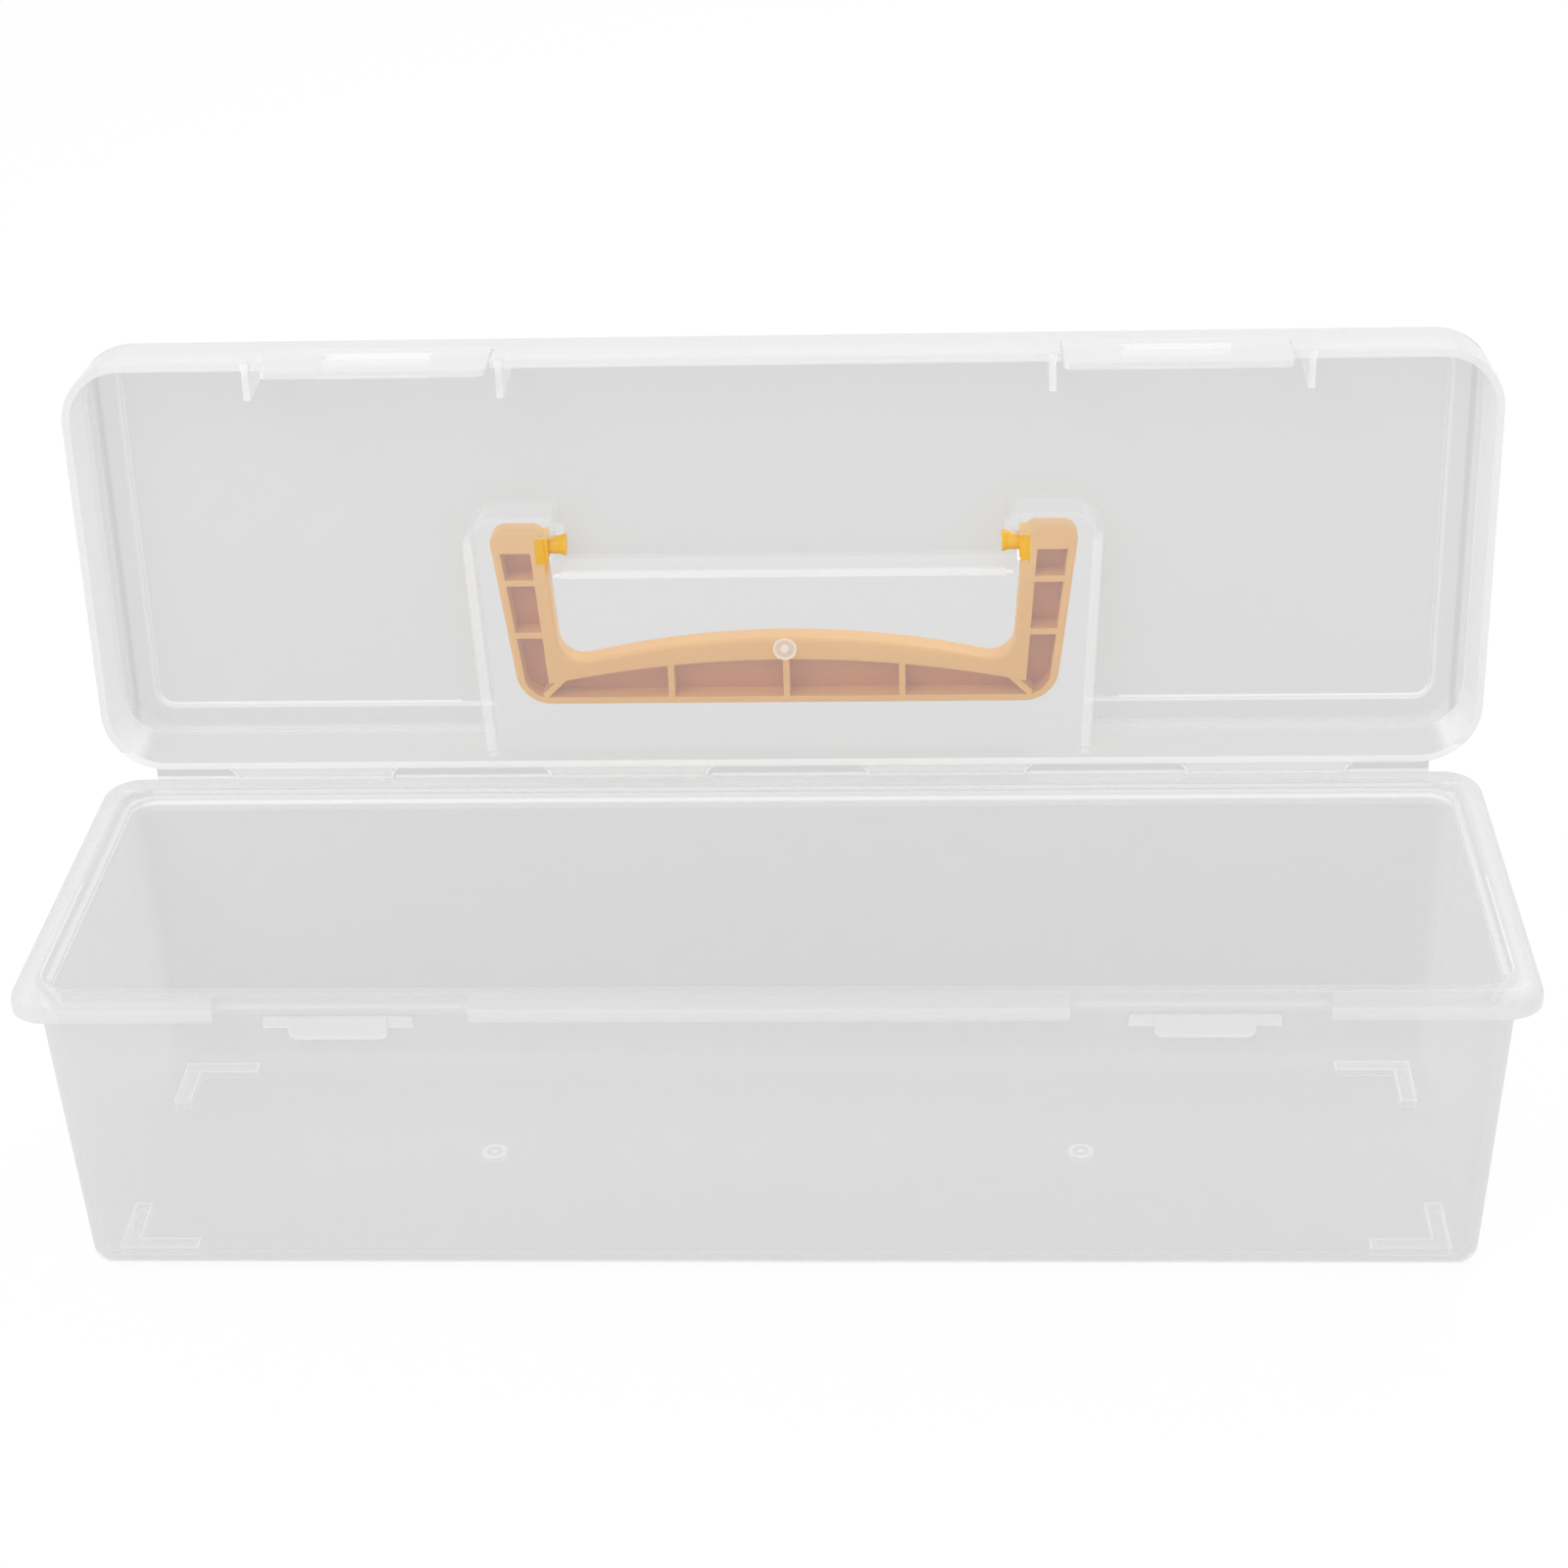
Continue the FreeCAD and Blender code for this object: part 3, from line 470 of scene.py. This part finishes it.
def lidZones(tree, place, facing, edgeHighlight, look):
    across = sizeOf(tree, place[0])
    depth = place[1]
    height = place[2]
    flat = sizeOf(tree, facing[1])
    level = above(tree, flat, look["levelFrom"])
    turned = below(tree, flat, look["turnedTo"])
    wall = ramp(tree, flat, *look["wallFacing"])
    endways = ramp(tree, sizeOf(tree, facing[0]), *look["outFacing"])
    outward = calc(tree, "MULTIPLY", facing[0], calc(tree, "SIGN", place[0]))
    high = above(tree, height, look["wallFrom"])
    lip = every(tree, level, below(tree, depth, look["lipTo"]))
    onGusset = below(tree, fromNearest(tree, place[0], look["gussetX"]), look["gussetHalf"])
    inPanel = every(tree, below(tree, across, look["panelX"]), between(tree, height, look["panelZ"]))
    inRecess = every(tree, below(tree, across, look["recessX"]), between(tree, height, look["recessZ"]))
    onPanel = every(tree, inPanel, minus(tree, 1.0, inRecess))
    margin = every(tree, above(tree, depth, look["marginFrom"]), minus(tree, 1.0, inPanel))
    lobe = every(tree, between(tree, across, look["lobes"]), above(tree, height, look["lobeFrom"]))
    land = every(tree, turned, below(tree, across, look["landX"]), between(tree, height, look["landZ"]))
    landBack = every(tree, land, above(tree, depth, look["landTo"]))
    channel = between(tree, across, look["recessSides"])
    bandStart = look["recessHalf"] - look["recessSlope"] * look["recessTop"] + look["bandMiddle"]
    bandX = calc(tree, "MULTIPLY_ADD", height, look["recessSlope"], bandStart)
    fromBand = sizeOf(tree, minus(tree, across, bandX))
    onBand = every(tree, between(tree, depth, look["bandDepths"]), ramp(tree, height, *look["bandEnd"]))
    pinWall = every(tree, between(tree, across, look["pinWallX"]), between(tree, height, look["pinWallZ"]))
    return [
        ("floor", every(tree, level, between(tree, depth, look["recessFloor"]))),
        ("wall", every(tree, wall, high)),
        ("side", every(tree, endways, above(tree, across, look["recessSides"][1]))),
        # painted light on the ribs' side faces and the gussets' front faces
        ("ribHighlight", every(tree, endways, high, below(tree, across, look["ribTo"]))),
        # painted highlights on rounded edges, then toned down on the lobes, the back of the land and in the
        # margin
        ("edgeHighlight", edgeHighlight),
        ("softEdge", either(tree, every(tree, edgeHighlight, lobe), landBack)),
        ("margin", every(tree, edgeHighlight, margin)),
        # painted shade: a dark line in the margin where the panel meets the lid's side
        ("creaseShade", every(tree, margin, between(tree, across, look["creaseShadeX"]))),
        # painted highlight on the turned faces round the panel
        ("outlineHighlight", every(tree, turned, above(tree, depth, look["panelFrom"]), onPanel)),
        # painted highlight along the front of the land
        ("landHighlight", every(tree, land, below(tree, depth, look["landTo"]))),
        ("channel", every(tree, channel, ramp(tree, outward, *look["outFacing"]))),
        ("channelInside", every(tree, channel, ramp(tree, outward, *look["inFacing"]))),
        ("recessBand", every(tree, onBand, ramp(tree, fromBand, *look["bandFade"]))),
        ("lip", lip),
        ("rearLip", every(tree, lip, below(tree, height, look["rearTo"]))),
        ("gussetHighlight", every(tree, lip, high, onGusset)),
        ("pinWall", pinWall),
    ]


dress("lid", dressShell(lidLook, lidZones))


# snap tongues on the lid's front wall
latchLook = {
    "name": "latchClear",
    "panel": {"tone": 0.86, "cover": 0.36},
    # painted highlight on the tongues' rounded edges
    "edgeHighlight": {"tone": 0.94, "cover": 0.50},
    # painted highlight: a bright band on the tongues' upright faces
    "tongueHighlight": {"tone": 0.96, "cover": 0.75},
    "cloudShare": 0.1,
    "roughness": 0.16,
    "roughSpread": 0.1,
    "latchX": 0.106,
    "highlightReach": 0.0150,
    "highlightDepths": (0.0508, 0.0570),
    "uprightTo": 0.5,
}


def latchZones(tree, place, facing, edgeHighlight, look):
    # painted highlight: a bright band on the upright faces near the middle of each tongue
    fromMiddle = sizeOf(tree, minus(tree, sizeOf(tree, place[0]), look["latchX"]))
    inReach = below(tree, fromMiddle, look["highlightReach"])
    inDepth = between(tree, place[1], look["highlightDepths"])
    upright = below(tree, sizeOf(tree, facing[2]), look["uprightTo"])
    return [("edgeHighlight", edgeHighlight), ("tongueHighlight", every(tree, inReach, inDepth, upright))]


latchClear = dressShell(latchLook, latchZones)
for node in ("latch_left", "latch_right"):
    dress(node, latchClear)


# handle: golden plastic, with painted shade deep in its cells, and yellower at the pins
handleLook = {
    "colour": (0.94, 0.52, 0.135, 1),
    "deepColour": (0.87, 0.44, 0.095, 1),
    # painted shade: a darker orange for the floors of the cells
    "cellShadeColour": (0.68, 0.24, 0.035, 1),
    "pinColour": (0.92, 0.52, 0.035, 1),
    "cellFrom": 0.0690,
    "cellFacing": -0.5,
    "pinTo": 0.0685,
    "pinFrom": 0.1470,
    "cloudScale": 30.0,
    "rippleScale": 500.0,
    "rippleStrength": 0.08,
    "rippleDepth": 0.0002,
    "roughness": 0.34,
    "roughSpread": 0.1,
    "roughClouds": (0.3, 0.7),
}


def dressHandle(look):
    material, tree, shader = newMaterial("handleYellow")
    scales = {"Scale": look["cloudScale"], "Ripple Scale": look["rippleScale"]}
    clouds = useGroup(tree, cloudGroup, scales)
    coords = addNode(tree, "ShaderNodeTexCoord").outputs
    place = split(tree, coords["Object"])
    facing = split(tree, coords["Normal"])
    deep = above(tree, place[1], look["cellFrom"])
    # painted shade on the cell floors
    cellShade = every(tree, deep, below(tree, facing[1], look["cellFacing"]))
    inner = below(tree, sizeOf(tree, place[0]), look["pinTo"])
    onPin = every(tree, inner, above(tree, place[2], look["pinFrom"]))
    colour = mixColour(tree, clouds["Cloud"], look["deepColour"], look["colour"])
    colour = mixColour(tree, cellShade, colour, look["cellShadeColour"])
    colour = mixColour(tree, onPin, colour, look["pinColour"])
    skin = {"Strength": look["rippleStrength"], "Distance": look["rippleDepth"], "Height": clouds["Ripple"]}
    bump = addNode(tree, "ShaderNodeBump", skin).outputs[0]
    spread = look["roughSpread"] / 2
    limits = (look["roughness"] - spread, look["roughness"] + spread)
    rough = ramp(tree, clouds["Cloud"], *look["roughClouds"], *limits)
    for key, value in (("Base Color", colour), ("Normal", bump), ("Roughness", rough)):
        tree.links.new(value, shader.inputs[key])
    return material


dress("handle", dressHandle(handleLook))
print("materials set")


# film hinge: four straps drawn in at the waist, and between them a thin grey sheet of painted shade, standing
# in for the shade seen through the gaps
hingeLook = {
    "strapWaist": 0.902,
    "strapThick": 0.0007,
    "strapRound": 0.0002,
    "gapShadeThick": 0.0003,
    "gapShadeRound": 0.0002 / 3,
    "gapShadeReach": 0.1790,
    "gapShadeBehind": 0.0006,
    "rows": 12,
    "edgeSteps": 2,
    "smoothAngle": 40,
    "strap": {"tone": 0.92, "cover": 0.30},
    # painted highlights: the straps' edge bands are painted lighter, and near white above where the grey gap
    # sheet starts
    "strapRimHighlight": {"tone": 1.0, "cover": 0.90},
    "strapFoot": {"tone": 0.94, "cover": 0.40},
    # painted shade: the thin grey sheet between the straps
    "gapShade": {"tone": 0.52, "cover": 0.15},
    "gapShadeClear": {"tone": 0.70, "cover": 0.03},
    # painted highlight: a bright line at the root of the straps and the gap sheet, just above the rim
    "rootHighlight": {"tone": 1.0, "cover": 0.80},
    "rimWide": 0.0008,
    "gapShadeFrom": 0.0876,
    "rootHeights": (0.0869, 0.0877),
    "cloudShare": 0.2,
    "roughness": 0.18,
}


def startPiece():
    if bpy.context.mode != "OBJECT":
        bpy.ops.object.mode_set(mode="OBJECT")
    bpy.ops.object.select_all(action="DESELECT")


def selectPoints(piece, wanted):
    bpy.ops.object.mode_set(mode="OBJECT")
    for part in (piece.data.vertices, piece.data.edges, piece.data.polygons):
        part.foreach_set("select", [False] * len(part))
    for point in piece.data.vertices:
        point.select = wanted(point.co)
    bpy.ops.object.mode_set(mode="EDIT")
    bpy.ops.mesh.select_mode(type="VERT")


# rounds the edges, then applies all modifiers and shades the piece
def finishPiece(piece, edgeRound, look):
    rounded = piece.modifiers.new("rounded", "BEVEL")
    rounded.width = edgeRound
    rounded.segments = look["edgeSteps"]
    rounded.limit_method = "ANGLE"
    for modifier in list(piece.modifiers):
        bpy.ops.object.modifier_apply(modifier=modifier.name)
    bpy.ops.object.shade_smooth_by_angle(angle=math.radians(look["smoothAngle"]))


# upright sheet from low to high, its foot turned in to the rim
def makeHingeSheet(name, low, high, rimFace, rows):
    startPiece()
    middle = [(a + b) / 2 for a, b in zip(low, high)]
    bpy.ops.mesh.primitive_plane_add(size=1, location=middle, rotation=(math.pi / 2, 0, 0))
    piece = bpy.context.object
    piece.name = name
    piece.scale = (high[0] - low[0], high[2] - low[2], 1)
    bpy.ops.object.transform_apply(location=True, rotation=True, scale=True)
    bpy.ops.object.mode_set(mode="EDIT")
    bpy.ops.mesh.select_all(action="SELECT")
    bpy.ops.mesh.subdivide(number_cuts=rows - 1)
    step = (high[2] - low[2]) / rows
    selectPoints(piece, lambda spot: spot.z < low[2] + step / 2)
    bpy.ops.transform.translate(value=(0, rimFace - middle[1], 0))
    return piece, middle, step


def drawInWaist(piece, low, middle, step, look):
    rows = look["rows"]
    for row in range(1, rows):
        height = low[2] + row * step
        share = 1 - abs(2 * row / rows - 1) ** 2
        width = 1 - (1 - look["strapWaist"]) * share
        selectPoints(piece, lambda spot: abs(spot.z - height) < step / 4)
        bpy.ops.transform.resize(value=(width, 1, 1), center_override=(middle[0], middle[1], height))


def thickenSheet(piece, thick, edgeRound, look):
    bpy.ops.object.mode_set(mode="OBJECT")
    wall = piece.modifiers.new("wall", "SOLIDIFY")
    wall.thickness = thick
    wall.offset = 0
    finishPiece(piece, edgeRound, look)


# the drawn-in half width of a strap at a height
def strapHalf(tree, height, low, high, waist):
    share = minus(tree, height, (low[2] + high[2]) / 2)
    share = calc(tree, "DIVIDE", share, (high[2] - low[2]) / 2)
    drawnIn = minus(tree, 1.0, calc(tree, "MULTIPLY", share, share))
    half = (high[0] - low[0]) / 2
    return minus(tree, half, calc(tree, "MULTIPLY", drawnIn, half * (1 - waist)))


def makeHinge(look):
    rimFace = tubHigh[1]
    farBox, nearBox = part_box("hinge_strap_4"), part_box("hinge_strap_3")
    middles = sorted(abs(low[0] + high[0]) / 2 for low, high in (farBox, nearBox))

    def strapZones(tree, place):
        half = strapHalf(tree, place[2], *nearBox, look["strapWaist"])
        # painted highlights along the straps' edges
        rim = above(tree, fromNearest(tree, place[0], middles), minus(tree, half, look["rimWide"]))
        return [
            ("strapFoot", rim),
            ("strapRimHighlight", every(tree, rim, above(tree, place[2], look["gapShadeFrom"]))),
            # painted highlight along the root of the straps
            ("rootHighlight", between(tree, place[2], look["rootHeights"])),
        ]

    # painted shade: the grey sheet is clear behind the straps and low down, and grey only between them
    def gapShadeZones(tree, place):
        half = strapHalf(tree, place[2], *nearBox, look["strapWaist"])
        behindStrap = below(tree, fromNearest(tree, place[0], middles), half)
        clear = either(tree, behindStrap, below(tree, place[2], look["gapShadeFrom"]))
        return [("gapShadeClear", clear), ("rootHighlight", between(tree, place[2], look["rootHeights"]))]

    # bakes the piece's place into its mesh
    def bendWithLid(piece):
        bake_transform(piece)

    strapFilm = dressFilm("strapFilm", look, "strap", strapZones)
    for number in range(1, 5):
        node = f"hinge_strap_{number}"
        low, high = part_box(node)
        piece, middle, step = makeHingeSheet(f"film_strap_{number}", low, high, rimFace, look["rows"])
        drawInWaist(piece, low, middle, step, look)
        thickenSheet(piece, look["strapThick"], look["strapRound"], look)
        piece.data.materials.append(strapFilm)
        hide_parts(node)
        bendWithLid(piece)
    # the thin sheet of painted shade spans the hinge just behind the straps
    gapShadeLow = (-look["gapShadeReach"], farBox[0][1] + look["gapShadeBehind"], farBox[0][2])
    gapShadeHigh = (look["gapShadeReach"], farBox[1][1] + look["gapShadeBehind"], farBox[1][2])
    gapShade, middle, step = makeHingeSheet("gap_shade_sheet", gapShadeLow, gapShadeHigh, rimFace, look["rows"])
    thickenSheet(gapShade, look["gapShadeThick"], look["gapShadeRound"], look)
    gapShade.data.materials.append(dressFilm("gapShadeFilm", look, "gapShade", gapShadeZones))
    bendWithLid(gapShade)


makeHinge(hingeLook)
print("film hinge made")


# moulding gate left on the recess floor, seen through the lid: a low round pad with a small nub, its edge
# ring and nub painted bright as painted highlights
gateLook = {
    "place": (0.0001, 0.0578, 0.1236),
    "radius": 0.0033,
    "nub": 0.0012,
    "rise": 0.0005,
    "points": 48,
    "edgeSteps": 3,
    "smoothAngle": 35,
    "pad": {"tone": 0.85, "cover": 0.22},
    # painted highlights: the pad's edge ring and its nub are painted bright
    "rim": {"tone": 0.95, "cover": 0.40},
    "rimWide": 0.0006,
    "cloudShare": 0.2,
    "roughness": 0.18,
}


def makeLidGate(look):
    startPiece()
    bpy.ops.mesh.primitive_circle_add(
        vertices=look["points"],
        radius=look["radius"],
        fill_type="NGON",
        location=look["place"],
        rotation=(math.pi / 2, 0, 0),
    )
    piece = bpy.context.object
    piece.name = "lid_gate_mark"
    bpy.ops.object.transform_apply(location=True, rotation=True, scale=True)
    bpy.ops.object.mode_set(mode="EDIT")
    bpy.ops.mesh.select_all(action="SELECT")
    rise = (0, -look["rise"], 0)
    bpy.ops.mesh.extrude_region_move(TRANSFORM_OT_translate={"value": rise})
    bpy.ops.mesh.inset(thickness=look["radius"] - 2 * look["nub"])
    bpy.ops.transform.translate(value=(0, look["rise"] / 2, 0))
    bpy.ops.mesh.inset(thickness=look["nub"])
    bpy.ops.mesh.extrude_region_move(TRANSFORM_OT_translate={"value": rise})
    bpy.ops.mesh.select_all(action="SELECT")
    bpy.ops.mesh.normals_make_consistent(inside=False)
    bpy.ops.object.mode_set(mode="OBJECT")
    finishPiece(piece, look["rise"] / 3, look)

    def padZones(tree, place):
        sideways = minus(tree, place[0], look["place"][0])
        upwards = minus(tree, place[2], look["place"][2])
        fromMiddle = distance(tree, sideways, upwards)
        # painted highlight on the pad's edge ring and its nub
        rim = above(tree, fromMiddle, look["radius"] - look["rimWide"])
        return [("rim", either(tree, rim, below(tree, fromMiddle, look["nub"])))]

    piece.data.materials.append(dressFilm("gateMark", look, "pad", padZones))
    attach(piece, "lid")


makeLidGate(gateLook)
print("gate mark made")


# floor, world and lamps
stageLook = {
    "floorSize": 12.0,
    "floorColour": (0.9, 0.9, 0.9, 1),
    "floorGlow": 0.85,
    "throughPlastic": 0.70,
    "worldLight": 0.9,
    "filmLayers": 24,  # clear surfaces that a ray may pass
    "lampAim": (0, 0.03, 0.09),
    "lamps": {
        "keyLamp": {"place": (-0.7, -0.9, 1.3), "size": 0.9, "power": 7.0},
        "backLamp": {"place": (0.5, 0.9, 1.2), "size": 0.7, "power": 5.0},
    },
}
white = (1, 1, 1, 1)


# looked at directly the backdrop is white, and through the clear plastic it is pale grey
def backdropSeen(tree, look):
    path = addNode(tree, "ShaderNodeLightPath").outputs
    seen = either(tree, path["Is Camera Ray"], path["Is Glossy Ray"])
    seen = either(tree, seen, path["Is Transmission Ray"])
    through = above(tree, path["Transparent Depth"], 0.5)  # one film or more
    return seen, mixValue(tree, through, 1.0, look["throughPlastic"])


def makeFloor(look):
    startPiece()
    bpy.ops.mesh.primitive_plane_add(size=look["floorSize"])
    floor = bpy.context.object
    floor.name = "studioFloor"
    material = bpy.data.materials.new("studioFloor")
    tree = emptyTree(material)
    plain = addNode(tree, "ShaderNodeBsdfDiffuse", {"Color": look["floorColour"]}).outputs[0]
    seen, level = backdropSeen(tree, look)
    glow = addNode(tree, "ShaderNodeEmission", {"Color": white, "Strength": level}).outputs[0]
    share = calc(tree, "MULTIPLY", seen, look["floorGlow"])
    mixed = addNode(tree, "ShaderNodeMixShader", {0: share, 1: plain, 2: glow}).outputs[0]
    addNode(tree, "ShaderNodeOutputMaterial", {0: mixed})
    floor.data.materials.append(material)


def makeWorld(look):
    scene.world = bpy.data.worlds.new("studioWorld")
    tree = emptyTree(scene.world)
    seen, level = backdropSeen(tree, look)
    strength = mixValue(tree, seen, look["worldLight"], level)
    light = addNode(tree, "ShaderNodeBackground", {"Color": white, "Strength": strength})
    addNode(tree, "ShaderNodeOutputWorld", {0: light.outputs[0]})


def makeLamp(name, look, aim):
    lamp = bpy.data.lights.new(name, "AREA")
    lamp.size = look["size"]
    lamp.energy = look["power"]
    holder = bpy.data.objects.new(name, lamp)
    scene.collection.objects.link(holder)
    holder.location = look["place"]
    turn = (Vector(aim) - Vector(look["place"])).to_track_quat("-Z", "Y")
    holder.rotation_euler = turn.to_euler()


makeFloor(stageLook)
makeWorld(stageLook)
for name, lampLook in stageLook["lamps"].items():
    makeLamp(name, lampLook, stageLook["lampAim"])
scene.cycles.transparent_max_bounces = stageLook["filmLayers"]
print("stage set")
